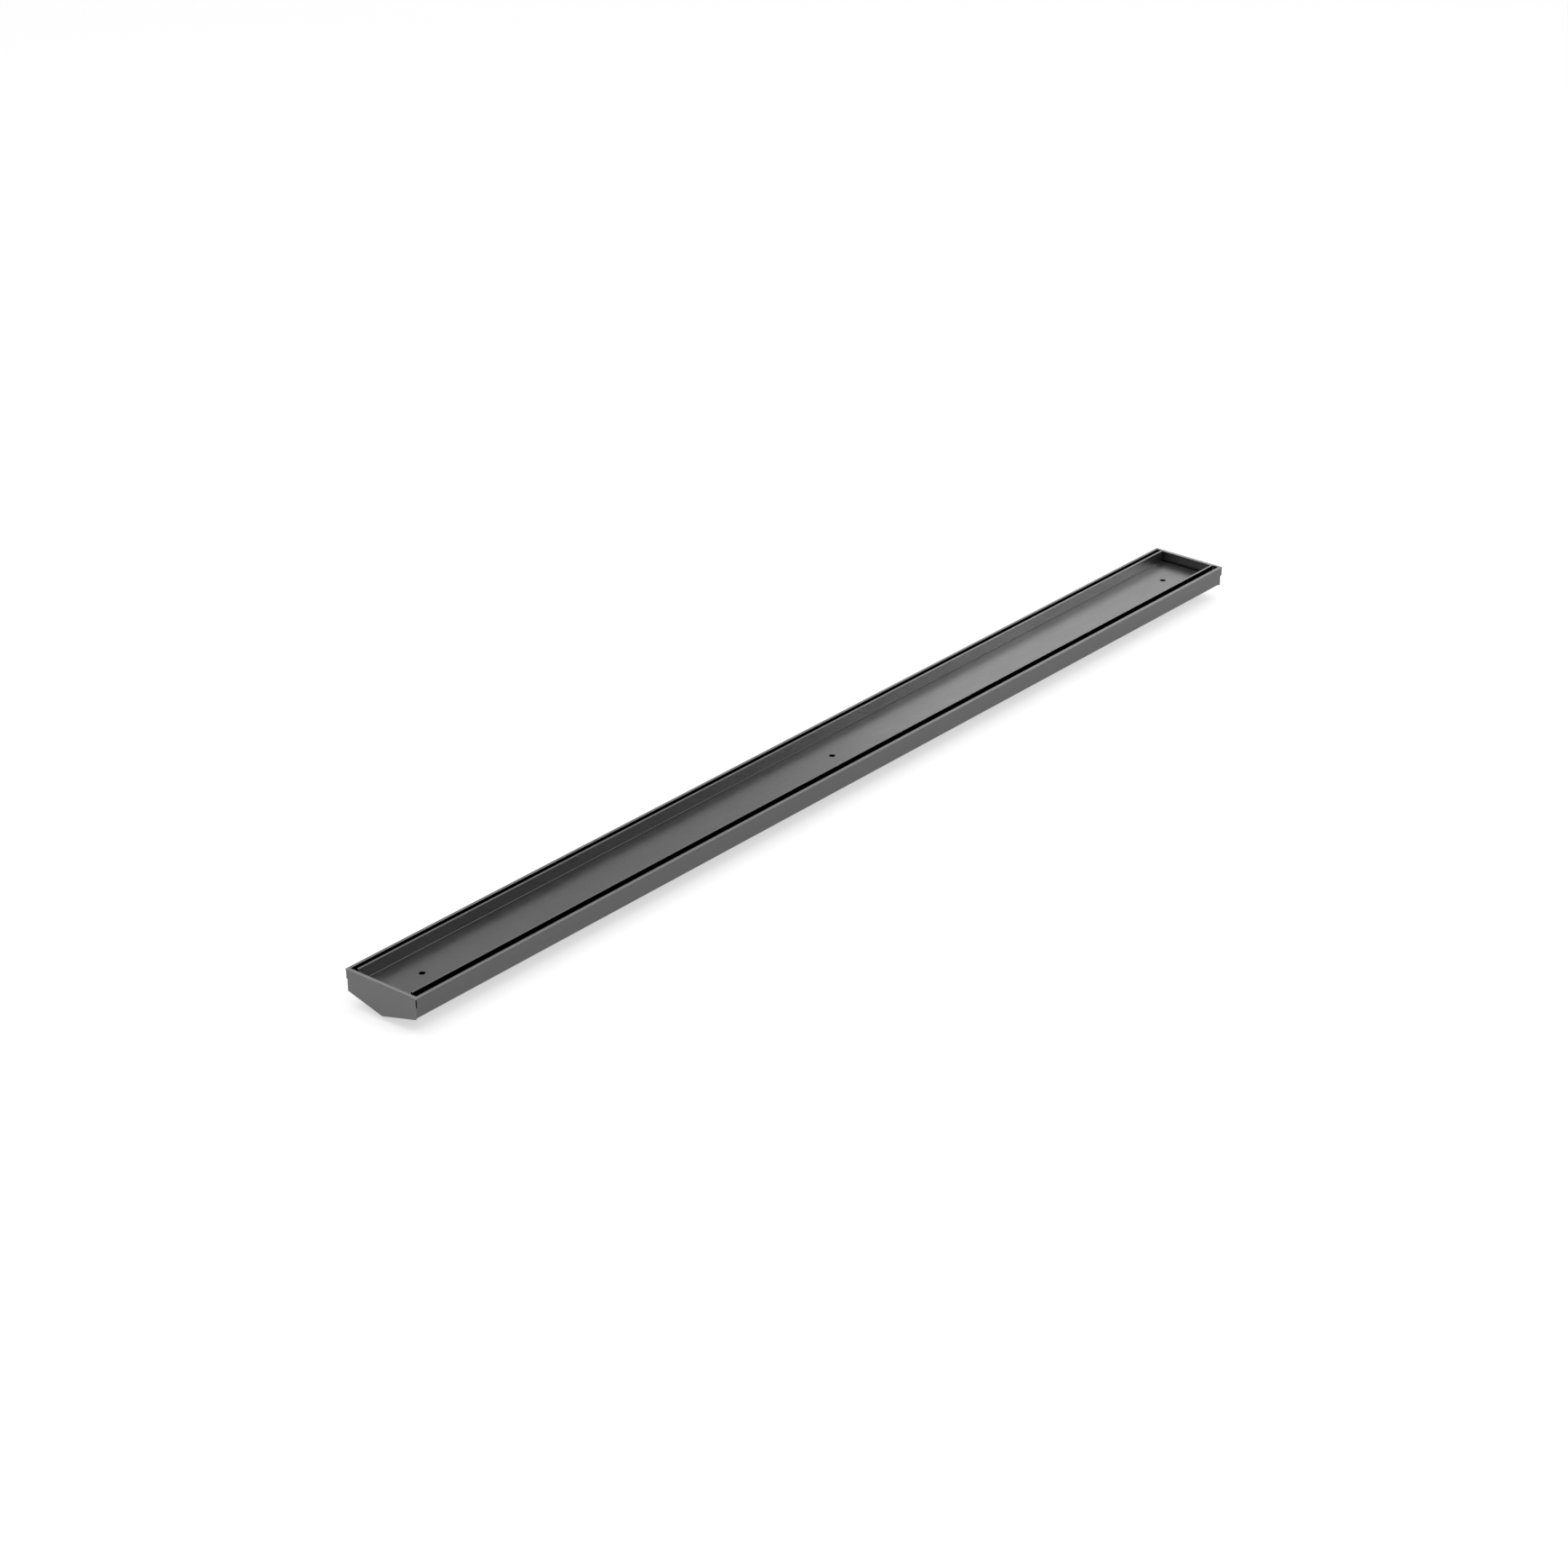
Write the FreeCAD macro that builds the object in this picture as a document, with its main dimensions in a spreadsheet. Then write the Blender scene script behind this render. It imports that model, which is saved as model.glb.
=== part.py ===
"""Channel drain with a tile tray, as a parametric document.

A folded trough with a V-shaped bottom has rims turned outwards and down into a short skirt along
each long side. Two end plates close it, with their tops turned in as rims that are mitred with
the long ones. A folded tile tray stands in the trough on four support bridges and leaves a
drainage slot along each long side. A short collar under the middle carries the water away.

Millimetres. X runs along the drain, Y across it and Z up. The origin is the centre of the
collar's lower edge, which is the lowest point of the drain.
"""
import os

import FreeCAD
import Part
import Sketcher

DRIVING_SIZES = (
    ("overall_length", 1000.0),
    ("overall_width", 69.0),
    ("channel_sheet", 1.3),
    ("skirt_gap", 0.15),
    ("skirt_height", 8.0),
    ("seam_gap", 0.5),
    ("fold_radius", 0.8),
    ("wall_height", 17.5),
    ("vee_depth", 8.7),
    ("bend_radius", 1.3),
    ("outlet_diameter", 32.0),
    ("outlet_wall", 1.5),
    ("outlet_drop", 3.4),
    ("slot_width", 4.7),
    ("tray_sheet", 1.6),
    ("tray_depth", 9.7),
    ("tray_rise", 0.7),
    ("tray_bend_radius", 0.8),
    ("tray_edge_radius", 0.3),
    ("tray_end_gap", 1.3),
    ("hole_diameter", 5.0),
    ("hole_inset", 36.5),
    ("support_sheet", 1.5),
    ("support_length", 20.0),
    ("support_width", 32.0),
    ("support_foot", 8.0),
    ("support_bend_radius", 1.0),
)
HOLE_COUNT = 3
SUPPORT_COUNT = 4
MATCH_TOLERANCE = 1e-4

# Places that several sub-parts share, as expressions of the driving sizes.
HALF_LENGTH = "Sizes.overall_length / 2"
HALF_WIDTH = "Sizes.overall_width / 2"
RIM_WIDTH = "(Sizes.skirt_gap + 2 * Sizes.channel_sheet)"
STAND_OFF = "(Sizes.skirt_gap + Sizes.channel_sheet)"
INNER_X = f"({HALF_LENGTH} - {RIM_WIDTH})"
INNER_Y = f"({HALF_WIDTH} - {RIM_WIDTH})"
WALL_Y = f"({HALF_WIDTH} - {STAND_OFF})"
SKIRT_X = f"({HALF_LENGTH} - Sizes.channel_sheet)"
SKIRT_Y = f"({HALF_WIDTH} - Sizes.channel_sheet)"
APEX_Z = "Sizes.outlet_drop"
BEND_Z = "(Sizes.outlet_drop + Sizes.vee_depth)"
RIM_Z = f"({BEND_Z} + Sizes.wall_height)"
RIM_UNDERSIDE_Z = f"({RIM_Z} - Sizes.channel_sheet)"
SKIRT_Z = f"({RIM_Z} - Sizes.skirt_height)"
VEE_SLOPE = f"(Sizes.vee_depth / {WALL_Y})"
VEE_STRETCH = f"sqrt(1 + {VEE_SLOPE} ^ 2)"
BEND_OUTER_RADIUS = "Sizes.bend_radius + Sizes.channel_sheet"
BORE_RADIUS = "(Sizes.outlet_diameter / 2 - Sizes.outlet_wall)"

TRAY_TOP_Z = f"({RIM_Z} + Sizes.tray_rise)"
TRAY_FLOOR_Z = f"({TRAY_TOP_Z} - Sizes.tray_depth)"
TRAY_UNDERSIDE_Z = f"({TRAY_FLOOR_Z} - Sizes.tray_sheet)"
TRAY_OUTER_Y = f"({INNER_Y} - Sizes.slot_width)"
TRAY_INNER_Y = f"({TRAY_OUTER_Y} - Sizes.tray_sheet)"
TRAY_HALF_LENGTH = f"({INNER_X} - Sizes.tray_end_gap)"
HOLE_X = f"({TRAY_HALF_LENGTH} - Sizes.hole_inset)"

LEG_Y = "(Sizes.support_width / 2)"
LEG_INNER_Y = f"({LEG_Y} - Sizes.support_sheet)"
FOOT_Y = f"({LEG_Y} + Sizes.support_foot)"
SUPPORT_INNER_Z = f"({TRAY_UNDERSIDE_Z} - Sizes.support_sheet)"
SUPPORT_SPACING = f"(Sizes.overall_length / {SUPPORT_COUNT})"

doc = FreeCAD.newDocument("ChannelDrain")


def vee_outside(across):
    """Height of the trough's underside at a distance from its middle."""
    return f"({APEX_Z} + ({across}) * {VEE_SLOPE})"


def vee_inside(across, above="0"):
    """Height over the V's upper face, lifted at right angles to it by a sheet laid on it."""
    return f"({vee_outside(across)} + (Sizes.channel_sheet + {above}) * {VEE_STRETCH})"


def fill_spreadsheet():
    """Put the driving sizes into the spreadsheet, one aliased cell each."""
    sizes = doc.addObject("Spreadsheet::Sheet", "Sizes")
    for row, (name, value) in enumerate(DRIVING_SIZES, start=1):
        sizes.set(f"A{row}", name)
        sizes.set(f"B{row}", str(value))
        sizes.setAlias(f"B{row}", name)
    doc.recompute()


def value_of(expression):
    """The number that an expression of the driving sizes gives now."""
    return float(doc.getObject("Sizes").evalExpression(expression))


def new_body(label):
    """A PartDesign body whose Label names its STEP file."""
    body = doc.addObject("PartDesign::Body", label.title().replace("_", ""))
    body.Label = label
    return body


def new_sketch(body, name, role, offset=None):
    """A sketch on one of the body's own origin planes, moved off it by an expression."""
    sketch = body.newObject("Sketcher::SketchObject", body.Name + name)
    plane = next(item for item in body.Origin.OriginFeatures if item.Role == role)
    sketch.AttachmentSupport = [(plane, "")]
    sketch.MapMode = "FlatFace"
    if offset:
        sketch.setExpression("AttachmentOffset.Base.z", offset)
    return sketch


def place_point(sketch, geometry, point, across, up):
    """Fix a point of a sketch at two expressions, or on an axis where one is zero."""
    for kind, axis, expression in (("DistanceX", -2, across), ("DistanceY", -1, up)):
        if expression == "0":
            sketch.addConstraint(Sketcher.Constraint("PointOnObject", geometry, point, axis))
        else:
            size = value_of(expression)
            fixed = Sketcher.Constraint(kind, -1, 1, geometry, point, size)
            index = sketch.addConstraint(fixed)
            sketch.setExpression(f"Constraints[{index}]", expression)


def draw_outline(sketch, corners):
    """Draw a closed outline whose corners are pairs of expressions."""
    first = sketch.GeometryCount
    points = [FreeCAD.Vector(value_of(across), value_of(up), 0) for across, up in corners]
    for start, end in zip(points, points[1:] + points[:1]):
        sketch.addGeometry(Part.LineSegment(start, end), False)
    for index, (across, up) in enumerate(corners):
        following = first + (index + 1) % len(corners)
        joint = Sketcher.Constraint("Coincident", first + index, 2, following, 1)
        sketch.addConstraint(joint)
        place_point(sketch, first + index, 1, across, up)


def draw_circle(sketch, across, up, radius):
    """Draw a circle whose centre and radius are expressions."""
    centre = FreeCAD.Vector(value_of(across), value_of(up), 0)
    size = value_of(radius)
    circle = Part.Circle(centre, FreeCAD.Vector(0, 0, 1), size)
    index = sketch.addGeometry(circle, False)
    fixed = sketch.addConstraint(Sketcher.Constraint("Radius", index, size))
    sketch.setExpression(f"Constraints[{fixed}]", radius)
    place_point(sketch, index, 3, across, up)


def flipped(corners):
    """The mirror image of some corners across the middle line."""
    return [(across if across == "0" else f"-({across})", up) for across, up in corners]


def whole_outline(half):
    """A closed outline from its right half, drawn from the middle line back to it."""
    return half + [corner for corner in reversed(flipped(half)) if corner[0] != "0"]


def both_sides(corners):
    """Some corners and their mirror images."""
    return corners + flipped(corners)


def pad(body, sketch, length):
    """A pad to both sides of its sketch."""
    feature = body.newObject("PartDesign::Pad", sketch.Name + "Pad")
    feature.Profile = sketch
    feature.SideType = "Symmetric"
    feature.setExpression("Length", length)
    doc.recompute()


def pad_forward(body, sketch, length):
    """A pad along its sketch's own normal."""
    feature = body.newObject("PartDesign::Pad", sketch.Name + "Pad")
    feature.Profile = sketch
    feature.setExpression("Length", length)
    doc.recompute()


def cut_through(body, sketch):
    """A pocket through everything on both sides of its sketch, which has to take metal away."""
    before = body.Shape.Volume
    feature = body.newObject("PartDesign::Pocket", sketch.Name + "Pocket")
    feature.Profile = sketch
    feature.Type = "ThroughAll"
    feature.SideType = "Symmetric"
    doc.recompute()
    if body.Shape.Volume >= before:
        raise RuntimeError(f"{feature.Name} cuts nothing")


def cut_upwards(body, sketch, depth):
    """A pocket of a given depth above its sketch, which has to take metal away."""
    before = body.Shape.Volume
    feature = body.newObject("PartDesign::Pocket", sketch.Name + "Pocket")
    feature.Profile = sketch
    feature.Reversed = True
    feature.setExpression("Length", depth)
    doc.recompute()
    if body.Shape.Volume >= before:
        raise RuntimeError(f"{feature.Name} cuts nothing")
    return feature


def round_edges(body, name, axis, corners, radius):
    """Round the edges that run along an axis through the given places of the other two."""
    base = body.Tip
    others = [item for item in "xyz" if item != axis]
    targets = [(value_of(across), value_of(up)) for across, up in corners]
    names = []
    for index, edge in enumerate(base.Shape.Edges, start=1):
        ends = [vertex.Point for vertex in edge.Vertexes]
        for target in targets:
            gaps = [abs(getattr(end, other) - goal)
                    for end in ends for other, goal in zip(others, target)]
            if max(gaps) < MATCH_TOLERANCE:
                names.append(f"Edge{index}")
    if len(names) < len(corners):
        raise RuntimeError(f"{body.Label} has {len(names)} edges for {name}")
    feature = body.newObject("PartDesign::Fillet", body.Name + name)
    feature.Base = (base, names)
    feature.setExpression("Radius", radius)
    doc.recompute()


def draw_end_trapezia(sketch, outer, inner):
    """Draw a trapezium at each end, between an outer and an inner corner and their mirrors."""
    for side in ("", "-"):
        draw_outline(sketch, [(f"{side}({outer[0]})", f"-({outer[1]})"),
                              (f"{side}({inner[0]})", f"-({inner[1]})"),
                              (f"{side}({inner[0]})", inner[1]),
                              (f"{side}({outer[0]})", outer[1])])


def cut_seams(body, near_x, near_y):
    """Cut the skirts short at each corner, which leaves the open corner seams of folded sheet."""
    sketch = new_sketch(body, "Seams", "XY_Plane", SKIRT_Z)
    for side in ("", "-"):
        corner = [(f"{side}({near_x})", near_y), (f"{side}({HALF_LENGTH})", near_y),
                  (f"{side}({HALF_LENGTH})", HALF_WIDTH), (f"{side}({near_x})", HALF_WIDTH)]
        draw_outline(sketch, corner)
        draw_outline(sketch, [(along, f"-({across})") for along, across in corner])
    cut_upwards(body, sketch, "Sizes.skirt_height - Sizes.channel_sheet")


def make_channel_body():
    """The trough: one sheet folded to a V bottom, two walls, two rims and two long skirts."""
    body = new_body("channel_body")
    section = new_sketch(body, "Section", "YZ_Plane")
    half = [("0", APEX_Z), (WALL_Y, BEND_Z), (WALL_Y, RIM_UNDERSIDE_Z),
            (SKIRT_Y, RIM_UNDERSIDE_Z), (SKIRT_Y, SKIRT_Z), (HALF_WIDTH, SKIRT_Z),
            (HALF_WIDTH, RIM_Z), (INNER_Y, RIM_Z), (INNER_Y, vee_inside(INNER_Y)),
            ("0", vee_inside("0"))]
    draw_outline(section, whole_outline(half))
    pad(body, section, "Sizes.overall_length")

    rim_edges = [(HALF_WIDTH, RIM_Z), (INNER_Y, RIM_Z)]
    vee_corner = [(INNER_Y, vee_inside(INNER_Y))]
    round_edges(body, "Rims", "x", both_sides(rim_edges), "Sizes.fold_radius")
    round_edges(body, "VeeOutside", "x", both_sides([(WALL_Y, BEND_Z)]) + [("0", APEX_Z)],
                BEND_OUTER_RADIUS)
    round_edges(body, "VeeInside", "x", both_sides(vee_corner) + [("0", vee_inside("0"))],
                "Sizes.bend_radius")

    # The trough ends at the end plates' inner faces, and its skirts and rims are mitred.
    ends = new_sketch(body, "Ends", "XY_Plane")
    draw_end_trapezia(ends, (HALF_LENGTH, HALF_WIDTH), (SKIRT_X, SKIRT_Y))
    cut_through(body, ends)
    mitres = new_sketch(body, "Mitres", "XY_Plane", RIM_UNDERSIDE_Z)
    draw_end_trapezia(mitres, (SKIRT_X, SKIRT_Y), (INNER_X, INNER_Y))
    cut_upwards(body, mitres, "Sizes.channel_sheet")
    cut_seams(body, f"{HALF_LENGTH} - Sizes.seam_gap", SKIRT_Y)

    outlet = new_sketch(body, "Outlet", "XY_Plane")
    draw_circle(outlet, "0", "0", BORE_RADIUS)
    cut_through(body, outlet)


def make_end_plate(label, turn):
    """An end plate: a sheet with the outline of trough and skirts, its top turned in as the rim."""
    body = new_body(label)
    outline = new_sketch(body, "Outline", "YZ_Plane", SKIRT_X)
    half = [("0", APEX_Z), (WALL_Y, BEND_Z), (WALL_Y, SKIRT_Z), (HALF_WIDTH, SKIRT_Z),
            (HALF_WIDTH, RIM_Z), ("0", RIM_Z)]
    draw_outline(outline, whole_outline(half))
    pad_forward(body, outline, "Sizes.channel_sheet")

    rim = new_sketch(body, "Rim", "XZ_Plane")
    draw_outline(rim, [(INNER_X, RIM_UNDERSIDE_Z), (HALF_LENGTH, RIM_UNDERSIDE_Z),
                       (HALF_LENGTH, RIM_Z), (INNER_X, RIM_Z)])
    pad(body, rim, "Sizes.overall_width")
    round_edges(body, "Rims", "y", [(INNER_X, RIM_Z), (HALF_LENGTH, RIM_Z)],
                "Sizes.fold_radius")

    mitres = new_sketch(body, "Mitres", "XY_Plane")
    for side in ("", "-"):
        draw_outline(mitres, [(HALF_LENGTH, f"{side}({HALF_WIDTH})"),
                              (INNER_X, f"{side}{INNER_Y}"),
                              (INNER_X, f"{side}({HALF_WIDTH})")])
    cut_through(body, mitres)
    cut_seams(body, SKIRT_X, f"{HALF_WIDTH} - Sizes.seam_gap")
    body.Placement = FreeCAD.Placement(FreeCAD.Vector(), FreeCAD.Rotation(turn, 0, 0))


def make_tile_tray():
    """The tray that holds the tile: a folded U, open at both ends, with a row of weep holes."""
    body = new_body("tile_tray")
    section = new_sketch(body, "Section", "YZ_Plane")
    half = [("0", TRAY_UNDERSIDE_Z), (TRAY_OUTER_Y, TRAY_UNDERSIDE_Z),
            (TRAY_OUTER_Y, TRAY_TOP_Z), (TRAY_INNER_Y, TRAY_TOP_Z),
            (TRAY_INNER_Y, TRAY_FLOOR_Z), ("0", TRAY_FLOOR_Z)]
    draw_outline(section, whole_outline(half))
    pad(body, section, f"2 * {TRAY_HALF_LENGTH}")
    round_edges(body, "BendOutside", "x", both_sides([(TRAY_OUTER_Y, TRAY_UNDERSIDE_Z)]),
                "Sizes.tray_bend_radius + Sizes.tray_sheet")
    round_edges(body, "BendInside", "x", both_sides([(TRAY_INNER_Y, TRAY_FLOOR_Z)]),
                "Sizes.tray_bend_radius")
    wall_edges = [(TRAY_OUTER_Y, TRAY_TOP_Z), (TRAY_INNER_Y, TRAY_TOP_Z)]
    round_edges(body, "WallEdges", "x", both_sides(wall_edges), "Sizes.tray_edge_radius")

    hole = new_sketch(body, "Hole", "XY_Plane", TRAY_UNDERSIDE_Z)
    draw_circle(hole, f"-{HOLE_X}", "0", "Sizes.hole_diameter / 2")
    first_hole = cut_upwards(body, hole, "Sizes.tray_sheet")
    row = body.newObject("PartDesign::LinearPattern", "TileTrayHoleRow")
    row.Originals = [first_hole]
    row.Direction = (hole, ["H_Axis"])
    row.Occurrences = HOLE_COUNT
    row.setExpression("Length", f"2 * {HOLE_X}")
    body.Tip = row
    doc.recompute()


def make_tray_support(number):
    """A bridge bent from strip: its top carries the tray and its feet stand on the V."""
    body = new_body(f"tray_support_{number}")
    section = new_sketch(body, "Section", "YZ_Plane")
    half = [("0", SUPPORT_INNER_Z), (LEG_INNER_Y, SUPPORT_INNER_Z),
            (LEG_INNER_Y, vee_inside(LEG_INNER_Y)), (FOOT_Y, vee_inside(FOOT_Y)),
            (FOOT_Y, vee_inside(FOOT_Y, "Sizes.support_sheet")),
            (LEG_Y, vee_inside(LEG_Y, "Sizes.support_sheet")),
            (LEG_Y, TRAY_UNDERSIDE_Z), ("0", TRAY_UNDERSIDE_Z)]
    draw_outline(section, whole_outline(half))
    pad(body, section, "Sizes.support_length")
    outside = [(LEG_Y, TRAY_UNDERSIDE_Z), (LEG_INNER_Y, vee_inside(LEG_INNER_Y))]
    inside = [(LEG_INNER_Y, SUPPORT_INNER_Z),
              (LEG_Y, vee_inside(LEG_Y, "Sizes.support_sheet"))]
    round_edges(body, "BendOutside", "x", both_sides(outside),
                "Sizes.support_bend_radius + Sizes.support_sheet")
    round_edges(body, "BendInside", "x", both_sides(inside), "Sizes.support_bend_radius")
    steps = number - (SUPPORT_COUNT + 1) / 2
    body.setExpression("Placement.Base.x", f"{steps} * {SUPPORT_SPACING}")


def make_outlet_collar():
    """The outlet: a short tube set on under the V, its top edge cut to the V's underside."""
    body = new_body("outlet_collar")
    ring = new_sketch(body, "Ring", "XY_Plane")
    draw_circle(ring, "0", "0", "Sizes.outlet_diameter / 2")
    draw_circle(ring, "0", "0", BORE_RADIUS)
    pad_forward(body, ring, BEND_Z)
    saddle = new_sketch(body, "Saddle", "YZ_Plane")
    half = [("0", APEX_Z), (WALL_Y, BEND_Z), (WALL_Y, RIM_Z), ("0", RIM_Z)]
    draw_outline(saddle, whole_outline(half))
    cut_through(body, saddle)


def check_and_export():
    """Stop at a feature that failed, then write each body to a STEP file under its Label."""
    doc.recompute()
    for item in doc.Objects:
        if "Invalid" in item.State or "Error" in item.State:
            raise RuntimeError(f"{item.Name} is {item.State}")
    os.makedirs("parts", exist_ok=True)
    for body in doc.findObjects("PartDesign::Body"):
        if body.Shape.isNull() or not body.Shape.isValid() or len(body.Shape.Solids) != 1:
            raise RuntimeError(f"{body.Label} is not one valid solid")
        body.Shape.exportStep(f"parts/{body.Label}.step")


fill_spreadsheet()
make_channel_body()
make_end_plate("left_end_plate", 180)
make_end_plate("right_end_plate", 0)
make_tile_tray()
for support_number in range(1, SUPPORT_COUNT + 1):
    make_tray_support(support_number)
make_outlet_collar()
check_and_export()
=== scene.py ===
"""Looks of the channel drain: satin steel, a weld bead, a pale floor, soft lamps and the camera.

Metres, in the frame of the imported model: X along the drain, Y across it, Z up.
"""
import math

import bpy
from mathutils import Matrix, Vector


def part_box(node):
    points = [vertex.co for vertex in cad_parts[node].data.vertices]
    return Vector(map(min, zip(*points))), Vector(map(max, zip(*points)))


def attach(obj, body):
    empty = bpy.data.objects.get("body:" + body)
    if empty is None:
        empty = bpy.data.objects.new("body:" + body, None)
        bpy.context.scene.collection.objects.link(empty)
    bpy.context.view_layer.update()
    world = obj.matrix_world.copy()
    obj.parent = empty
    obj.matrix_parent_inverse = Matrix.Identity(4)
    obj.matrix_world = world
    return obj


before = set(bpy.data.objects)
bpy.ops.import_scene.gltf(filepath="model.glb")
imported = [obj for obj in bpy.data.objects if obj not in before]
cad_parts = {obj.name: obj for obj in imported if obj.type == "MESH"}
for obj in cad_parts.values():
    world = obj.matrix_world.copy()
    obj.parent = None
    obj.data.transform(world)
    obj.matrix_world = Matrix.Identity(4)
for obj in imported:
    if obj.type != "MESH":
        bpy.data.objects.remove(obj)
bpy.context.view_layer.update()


# ---------------------------------------------------------------- places from the frame
SHEET = 0.0013
SKIRT_GAP = 0.00015
SKIRT_HEIGHT = 0.0080
SEAM = 0.0005
VEE_DEPTH = 0.0087
SLOT_WIDTH = 0.0047
TRAY_SHEET = 0.0016
TRAY_DEPTH = 0.0097

RIM_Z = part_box("channel_body")[1][2]
HALF_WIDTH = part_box("channel_body")[1][1]
HALF_LENGTH = -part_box("left_end_plate")[0][0]
APEX_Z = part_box("left_end_plate")[0][2]
VEE_SLOPE = VEE_DEPTH / (HALF_WIDTH - SHEET - SKIRT_GAP)
SLOT_INNER_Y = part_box("tile_tray")[1][1]
SLOT_OUTER_Y = SLOT_INNER_Y + SLOT_WIDTH
TRAY_FLOOR_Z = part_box("tile_tray")[1][2] - TRAY_DEPTH

# How far past the slot's wall, below the rim's top and beyond the seams the painted shade
# reaches, how wide the painted highlight beside a seam is, and how high the painted shade in the
# tray's bends goes.
FOLD_SHADE = 0.00035
RIM_MARGIN = 0.00018
END_MARGIN = 0.0009
SEAM_SHADE = 0.0002
SEAM_EDGE = 0.0009
BEND_SHADE = 0.0012


# ---------------------------------------------------------------- materials
class Graph:
    """The node tree of a new material, with a short call for each node and its links."""

    def __init__(self, name):
        self.material = bpy.data.materials.new(name)
        self.material.use_nodes = True
        self.tree = self.material.node_tree
        self.tree.nodes.clear()

    def node(self, kind, settings=None, **inputs):
        """Add a node: settings are its properties, inputs are values or another node's output."""
        item = self.tree.nodes.new(kind)
        for key, value in (settings or {}).items():
            setattr(item, key, value)
        for key, value in inputs.items():
            socket = item.inputs[key.replace("_", " ")]
            self.feed(socket, value)
        return item

    def feed(self, socket, value):
        """Link an output to a socket, or set the socket to a plain value."""
        if isinstance(value, bpy.types.NodeSocket):
            self.tree.links.new(value, socket)
        else:
            socket.default_value = value

    def math(self, operation, first, second):
        """A Math node's result."""
        item = self.tree.nodes.new("ShaderNodeMath")
        item.operation = operation
        self.feed(item.inputs[0], first)
        self.feed(item.inputs[1], second)
        return item.outputs[0]

    def noise(self, coordinates, stretch, detail=3.0, roughness=0.5):
        """Noise of about unit scale after the coordinates are stretched, from 0 to 1."""
        mapping = self.node("ShaderNodeMapping", Vector=coordinates, Scale=stretch)
        item = self.node("ShaderNodeTexNoise", Vector=mapping.outputs["Vector"], Scale=1.0,
                         Detail=detail, Roughness=roughness)
        return item.outputs["Fac"]

    def map_range(self, value, low, high, to_low, to_high):
        """A value moved from one range to another, and kept inside it."""
        item = self.node("ShaderNodeMapRange", Value=value, From_Min=low, From_Max=high,
                         To_Min=to_low, To_Max=to_high)
        return item.outputs["Result"]

    def mix_colour(self, factor, first, second):
        """One colour turning into another as factor goes from 0 to 1."""
        item = self.node("ShaderNodeMix", {"data_type": "RGBA"})
        self.feed(item.inputs[0], factor)
        self.feed(item.inputs[6], first)
        self.feed(item.inputs[7], second)
        return item.outputs[2]


def grey(level, blue=1.0):
    """A neutral colour, with its blue a little off."""
    return (level, level, level * blue, 1.0)


def offsets(graph, place):
    """How far a place is from the middle along and across the drain, and its height."""
    parts = graph.node("ShaderNodeSeparateXYZ", Vector=place)
    along = graph.math("ABSOLUTE", parts.outputs["X"], 0.0)
    across = graph.math("ABSOLUTE", parts.outputs["Y"], 0.0)
    return along, across, parts.outputs["Z"]


def surface_facing(graph):
    """The parts of the surface's own direction."""
    direction = graph.node("ShaderNodeNewGeometry").outputs["Normal"]
    return graph.node("ShaderNodeSeparateXYZ", Vector=direction).outputs


def curved_share(graph, low, high):
    """0 where the surface is level or upright, rising to 1 between them on a fold."""
    upward = surface_facing(graph)["Z"]
    between = graph.math("MULTIPLY", upward, graph.math("SUBTRACT", 1.0, upward))
    return graph.map_range(between, low, high, 0.0, 1.0)


def painted_trough_shade(graph, place):
    """Where shade is painted: 1 on faces inside the trough and under the tray, below the rims,
    and 0 elsewhere.
    """
    along, across, height = offsets(graph, place)
    inner = graph.math("LESS_THAN", across, SLOT_OUTER_Y + FOLD_SHADE)
    outer = graph.math("GREATER_THAN", across, SLOT_INNER_Y - 0.00008)
    low = graph.math("LESS_THAN", height, TRAY_FLOOR_Z - 0.0004)
    below = graph.math("LESS_THAN", height, RIM_Z - RIM_MARGIN)
    within = graph.math("LESS_THAN", along, HALF_LENGTH - END_MARGIN)
    hidden = graph.math("MAXIMUM", outer, low)
    hidden = graph.math("MULTIPLY", hidden, graph.math("MULTIPLY", inner, below))
    vee = graph.math("ADD", graph.math("MULTIPLY", across, VEE_SLOPE), APEX_Z + SHEET / 2)
    hidden = graph.math("MULTIPLY", hidden, graph.math("GREATER_THAN", height, vee))
    return graph.math("MULTIPLY", hidden, within)


def near_corner(graph, along, across, reach):
    """1 within reach of the corner posts of the skirts, and 0 elsewhere."""
    at_end = graph.math("GREATER_THAN", along, HALF_LENGTH - reach)
    at_side = graph.math("GREATER_THAN", across, HALF_WIDTH - reach)
    return graph.math("MULTIPLY", at_end, at_side)


def painted_seam_shade(graph, place):
    """Where shade is painted: 1 in the open corner seams of the skirts and on the edges beside
    them, widening the seams' shadow, 0 elsewhere.
    """
    along, across, height = offsets(graph, place)
    below = graph.math("LESS_THAN", height, RIM_Z - SHEET)
    return graph.math("MULTIPLY", near_corner(graph, along, across, SEAM + SEAM_SHADE), below)


def painted_seam_highlight(graph, place):
    """Where a highlight is painted: 1 on the cut edges of the sheet, at either side of a corner
    seam, and 0 elsewhere.
    """
    along, across, height = offsets(graph, place)
    skirt = graph.math("GREATER_THAN", height, RIM_Z - SKIRT_HEIGHT)
    return graph.math("MULTIPLY", near_corner(graph, along, across, SEAM + SEAM_EDGE), skirt)


def painted_tray_wall_light(graph, place):
    """Where light is painted: 1 on the upright inner faces of the tray's two walls, and 0
    elsewhere.
    """
    _, across, _ = offsets(graph, place)
    upright = graph.math("ABSOLUTE", surface_facing(graph)["Y"], 0.0)
    upright = graph.map_range(upright, 0.90, 0.99, 0.0, 1.0)
    inside = graph.math("LESS_THAN", across, SLOT_INNER_Y - TRAY_SHEET / 2)
    return graph.math("MULTIPLY", upright, inside)


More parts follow.
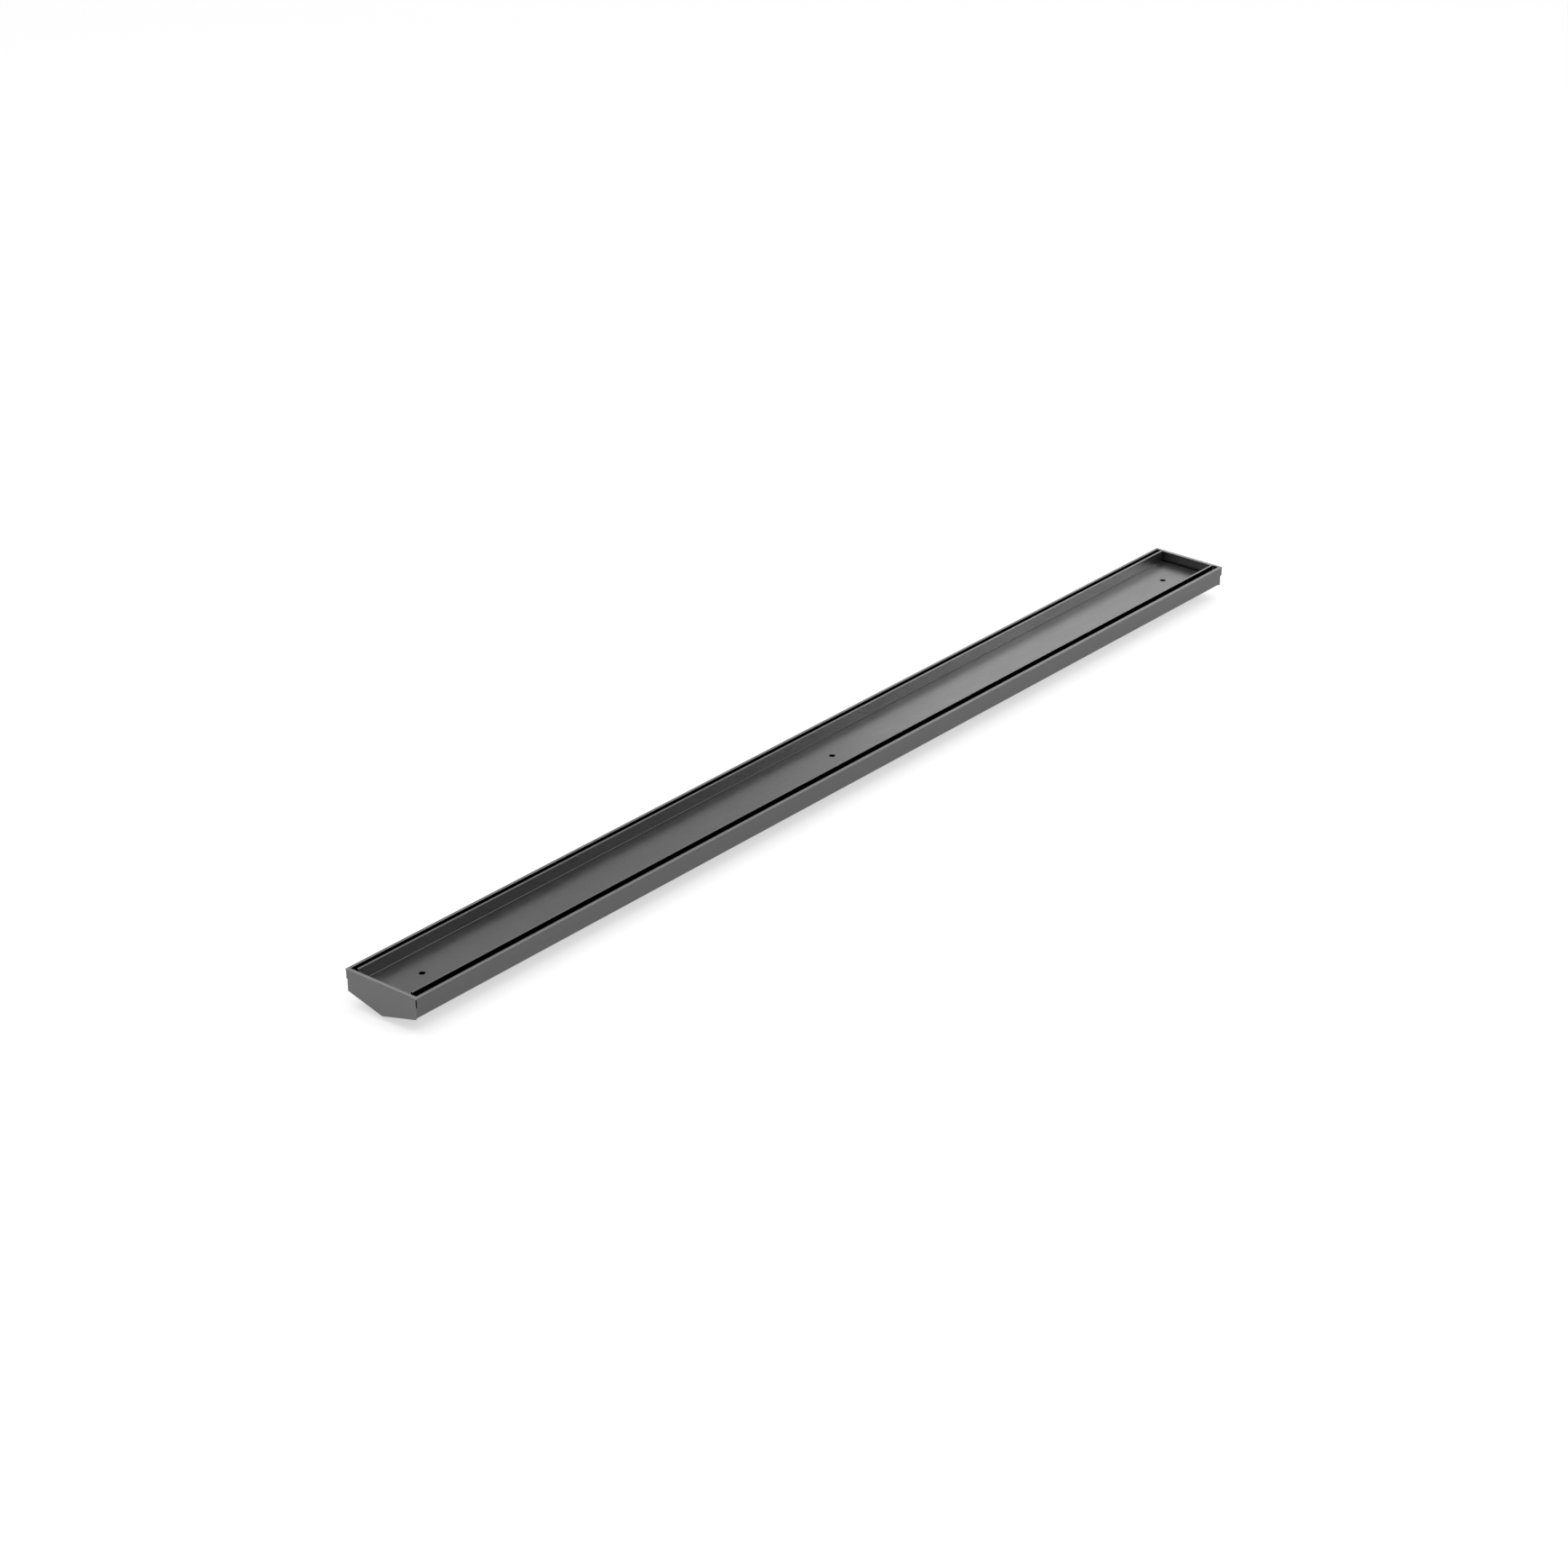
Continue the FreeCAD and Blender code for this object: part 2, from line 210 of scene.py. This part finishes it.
def painted_tray_bend_shade(graph, place):
    """Where shade is painted: 1 on the inside of the tray's two bends, and 0 elsewhere."""
    _, _, height = offsets(graph, place)
    low = graph.math("LESS_THAN", height, TRAY_FLOOR_Z + BEND_SHADE)
    return graph.math("MULTIPLY", curved_share(graph, 0.0, 0.15), low)


def painted_fold_highlight(graph, place):
    """Where a highlight is painted: 1 on the rounded folds of the rims, and 0 on the flats beside
    them.
    """
    _, _, height = offsets(graph, place)
    high = graph.math("GREATER_THAN", height, RIM_Z - SHEET)
    return graph.math("MULTIPLY", curved_share(graph, 0.05, 0.20), high)


def satin_steel(name, level, roughness, grain, trough=False, tray=False):
    """Satin sheet steel: rolling grain, cloudy patches, faint scratches, polished edges, and
    painted highlights on edges, folds and beside seams.

    trough paints shade on the faces inside the trough and in the seams, and tray paints light on
    the tray's walls and shade in its bends.
    """
    graph = Graph(name)
    place = graph.node("ShaderNodeTexCoord").outputs["Object"]
    fine = graph.noise(place, [4500.0 if step else 30.0 for step in grain], detail=2.0)
    streaks = graph.noise(place, [700.0 if step else 6.0 for step in grain], detail=4.0)
    clouds = graph.noise(place, (38.0, 70.0, 70.0), detail=5.0, roughness=0.6)
    specks = graph.noise(place, (2200.0, 2200.0, 2200.0), detail=1.0)

    scratch = graph.node("ShaderNodeTexWave", {"wave_type": "BANDS", "bands_direction": "Y"},
                         Vector=graph.node("ShaderNodeMapping", Vector=place,
                                           Rotation=(0.3, 0.2, 0.9)).outputs["Vector"],
                         Scale=60.0, Distortion=14.0, Detail=3.0, Detail_Scale=3.0)
    scratches = graph.map_range(scratch.outputs["Fac"], 0.985, 1.0, 0.0, 1.0)

    rounded = graph.node("ShaderNodeBevel", {"samples": 6}, Radius=0.00035)
    flat = graph.node("ShaderNodeNewGeometry").outputs["Normal"]
    across = graph.node("ShaderNodeVectorMath", {"operation": "DOT_PRODUCT"})
    graph.feed(across.inputs[0], rounded.outputs["Normal"])
    graph.feed(across.inputs[1], flat)
    edges = graph.map_range(across.outputs["Value"], 0.995, 0.90, 0.0, 1.0)

    tone = graph.mix_colour(clouds, grey(level * 0.93, 1.02), grey(level * 1.07, 1.0))
    tone = graph.mix_colour(graph.map_range(streaks, 0.35, 0.7, 0.0, 0.12), tone,
                            grey(level * 1.25, 1.0))
    # Painted highlight on the rounded edges the bevel finds; their lower roughness is the real
    # polish.
    tone = graph.mix_colour(graph.math("MULTIPLY", edges, 0.35), tone, grey(level * 1.7, 1.0))
    # Painted highlight on the rounded rim folds and on the sheet edges beside the corner seams.
    painted_highlight = graph.math("MAXIMUM", painted_fold_highlight(graph, place), painted_seam_highlight(graph, place))
    tone = graph.mix_colour(graph.math("MULTIPLY", painted_highlight, 0.45), tone, grey(level * 1.6, 1.0))
    if tray:
        # Painted light: the tray's upright inner walls are lightened.
        tone = graph.mix_colour(painted_tray_wall_light(graph, place), tone, grey(level * 1.9, 1.0))
        # Painted shade: the insides of the tray's bends are darkened.
        tone = graph.mix_colour(painted_tray_bend_shade(graph, place), tone, grey(level * 0.55, 1.0))
    if trough:
        # Painted shade: faces inside the trough, under the tray and in the corner seams turn near
        # black.
        dark = graph.math("MAXIMUM", painted_trough_shade(graph, place), painted_seam_shade(graph, place))
        painted_shade_tone = graph.mix_colour(graph.math("MULTIPLY", clouds, fine), grey(0.003), grey(0.010))
        tone = graph.mix_colour(dark, tone, painted_shade_tone)

    rough = graph.map_range(fine, 0.25, 0.75, roughness - 0.05, roughness + 0.05)
    rough = graph.math("ADD", rough, graph.map_range(clouds, 0.3, 0.7, -0.03, 0.03))
    rough = graph.math("SUBTRACT", rough, graph.math("MULTIPLY", edges, 0.10))

    relief = graph.math("ADD", graph.math("MULTIPLY", fine, 0.6),
                        graph.math("MULTIPLY", specks, 0.4))
    relief = graph.math("SUBTRACT", relief, graph.math("MULTIPLY", scratches, 0.5))
    bump = graph.node("ShaderNodeBump", Strength=0.12, Distance=0.00003, Height=relief,
                      Normal=rounded.outputs["Normal"])

    shader = graph.node("ShaderNodeBsdfPrincipled", Base_Color=tone, Metallic=1.0,
                        Roughness=rough, Normal=bump.outputs["Normal"])
    output = graph.node("ShaderNodeOutputMaterial")
    graph.feed(output.inputs["Surface"], shader.outputs["BSDF"])
    return graph.material


ALONG_X = (False, True, True)
ALONG_Y = (True, False, True)
LOOKS = {
    "channel_body": satin_steel("channel_satin", 0.106, 0.40, ALONG_X, trough=True),
    "left_end_plate": satin_steel("end_plate_satin", 0.14, 0.40, ALONG_Y, trough=True),
    "tile_tray": satin_steel("tray_satin", 0.090, 0.30, ALONG_X, trough=True, tray=True),
    "tray_support_1": satin_steel("support_satin", 0.14, 0.42, ALONG_Y),
    "outlet_collar": satin_steel("collar_satin", 0.14, 0.42, ALONG_X),
}
LOOKS["right_end_plate"] = LOOKS["left_end_plate"]
for number in (2, 3, 4):
    LOOKS[f"tray_support_{number}"] = LOOKS["tray_support_1"]
for name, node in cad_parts.items():
    node.data.materials.clear()
    node.data.materials.append(LOOKS[name])


# ---------------------------------------------------------------- weld round the collar
def weld_bead():
    """A rippled fillet weld that follows the collar's join with the underside of the V."""
    low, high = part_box("outlet_collar")
    radius = (high[0] - low[0]) / 2
    end_low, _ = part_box("left_end_plate")
    _, body_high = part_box("channel_body")
    apex = end_low[2]
    slope = (high[2] - apex) / radius
    bead = 0.0011
    rings, sides, ripples = 480, 8, 78
    vertices = []
    for ring in range(rings):
        turn = 2 * math.pi * ring / rings
        outward = Vector((math.cos(turn), math.sin(turn), 0.0))
        height = apex + slope * radius * abs(outward.y)
        swell = bead * (1.0 + 0.10 * math.cos(ripples * turn))
        for side in range(sides):
            angle = 2 * math.pi * side / sides
            offset = outward * (swell * math.cos(angle)) + Vector((0, 0, swell * math.sin(angle)))
            vertices.append(outward * radius + Vector((0, 0, height)) + offset)
    faces = []
    for ring in range(rings):
        following = (ring + 1) % rings
        for side in range(sides):
            beside = (side + 1) % sides
            faces.append((ring * sides + side, following * sides + side,
                          following * sides + beside, ring * sides + beside))
    mesh = bpy.data.meshes.new("collar_weld")
    mesh.from_pydata(vertices, [], faces)
    mesh.shade_smooth()
    mesh.materials.append(LOOKS["outlet_collar"])
    piece = bpy.data.objects.new("collar_weld", mesh)
    bpy.context.collection.objects.link(piece)
    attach(piece, "root")


weld_bead()


# ---------------------------------------------------------------- floor, lamps and world
def pale_floor():
    """A wide pale floor that shows white to the camera and in the metal, and keeps the shadow."""
    graph = Graph("pale_floor")
    place = graph.node("ShaderNodeTexCoord").outputs["Object"]
    clouds = graph.noise(place, (1.5, 1.5, 1.5), detail=2.0)
    tone = graph.mix_colour(clouds, grey(0.84), grey(0.86))
    matt = graph.node("ShaderNodeBsdfDiffuse", Color=tone)
    white = graph.node("ShaderNodeEmission", Color=grey(1.0), Strength=1.0)
    path = graph.node("ShaderNodeLightPath")
    seen = graph.math("MAXIMUM", path.outputs["Is Camera Ray"], path.outputs["Is Glossy Ray"])
    seen = graph.math("MAXIMUM", seen, path.outputs["Is Transmission Ray"])
    distance = graph.node("ShaderNodeVectorMath", {"operation": "LENGTH"})
    graph.feed(distance.inputs[0], place)
    share = graph.math("MULTIPLY", seen,
                       graph.map_range(distance.outputs["Value"], 1.2, 3.5, 0.6, 1.0))
    mixed = graph.node("ShaderNodeMixShader", Fac=share)
    graph.feed(mixed.inputs[1], matt.outputs["BSDF"])
    graph.feed(mixed.inputs[2], white.outputs["Emission"])
    output = graph.node("ShaderNodeOutputMaterial")
    graph.feed(output.inputs["Surface"], mixed.outputs["Shader"])

    half = 12.0
    mesh = bpy.data.meshes.new("floor")
    mesh.from_pydata([(-half, -half, 0), (half, -half, 0), (half, half, 0), (-half, half, 0)],
                     [], [(0, 1, 2, 3)])
    mesh.materials.append(graph.material)
    floor = bpy.data.objects.new("floor", mesh)
    bpy.context.collection.objects.link(floor)


def soft_lamp(name, place, target, width, height, power):
    """A large area lamp at a place, turned towards a target."""
    lamp = bpy.data.lights.new(name, "AREA")
    lamp.shape = "RECTANGLE"
    lamp.size = width
    lamp.size_y = height
    lamp.energy = power
    holder = bpy.data.objects.new(name, lamp)
    bpy.context.collection.objects.link(holder)
    holder.location = place
    facing = Vector(target) - Vector(place)
    holder.rotation_euler = facing.to_track_quat("-Z", "Y").to_euler()


def floor_lamp(name, place, cone, power):
    """A narrow lamp straight above a patch of floor, whose light the drain's side reflects."""
    lamp = bpy.data.lights.new(name, "SPOT")
    lamp.spot_size = math.radians(cone)
    lamp.spot_blend = 1.0
    lamp.shadow_soft_size = 0.03
    lamp.energy = power
    holder = bpy.data.objects.new(name, lamp)
    bpy.context.collection.objects.link(holder)
    holder.location = place


pale_floor()
soft_lamp("overhead", (-0.2, -0.3, 3.6), (0.0, 0.0, 0.0), 7.0, 7.0, 330.0)
soft_lamp("far_end", (1.45, 0.55, 0.75), (0.5, 0.0, 0.0), 0.9, 0.7, 2.6)
soft_lamp("far_front", (1.22, -0.66, 0.46), (0.46, 0.0, 0.0), 0.5, 0.4, 4.4)
floor_lamp("floor_pool", (0.50, -0.20, 0.70), 22.0, 35.0)

world = bpy.data.worlds.new("studio")
bpy.context.scene.world = world
world.use_nodes = True
sky = world.node_tree.nodes["Background"]
sky.inputs["Color"].default_value = (1.0, 1.0, 1.0, 1.0)
nodes, links = world.node_tree.nodes, world.node_tree.links
rays = nodes.new("ShaderNodeLightPath")
seen = rays.outputs["Is Camera Ray"]
for kind in ("Is Glossy Ray", "Is Transmission Ray"):
    either = nodes.new("ShaderNodeMath")
    either.operation = "MAXIMUM"
    links.new(seen, either.inputs[0])
    links.new(rays.outputs[kind], either.inputs[1])
    seen = either.outputs[0]
level = nodes.new("ShaderNodeMapRange")
links.new(seen, level.inputs["Value"])
level.inputs["To Min"].default_value = 0.30
level.inputs["To Max"].default_value = 1.0
links.new(level.outputs["Result"], sky.inputs["Strength"])


# ---------------------------------------------------------------- camera
def photo_camera():
    """The camera at the photograph's viewing angle, looking at the middle of the rim."""
    heading = math.radians(39.446)
    pitch = math.radians(25.900)
    forward = Vector((math.cos(heading) * math.cos(pitch), math.sin(heading) * math.cos(pitch),
                      -math.sin(pitch)))
    right = Vector((math.sin(heading), -math.cos(heading), 0.0))
    up = right.cross(forward)
    rim_middle = Vector((0.0, 0.0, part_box("channel_body")[1][2]))
    place = rim_middle - 2.9746 * forward - 0.03777 * right - 0.03043 * up
    data = bpy.data.cameras.new("photo_view")
    data.sensor_width = 36.0
    data.lens = 86.97
    data.clip_start = 0.05
    data.clip_end = 60.0
    camera = bpy.data.objects.new("photo_view", data)
    bpy.context.collection.objects.link(camera)
    turn = Matrix((right, up, -forward)).transposed().to_4x4()
    camera.matrix_world = Matrix.Translation(place) @ turn
    bpy.context.scene.camera = camera


photo_camera()
bpy.context.scene.view_settings.view_transform = "Standard"
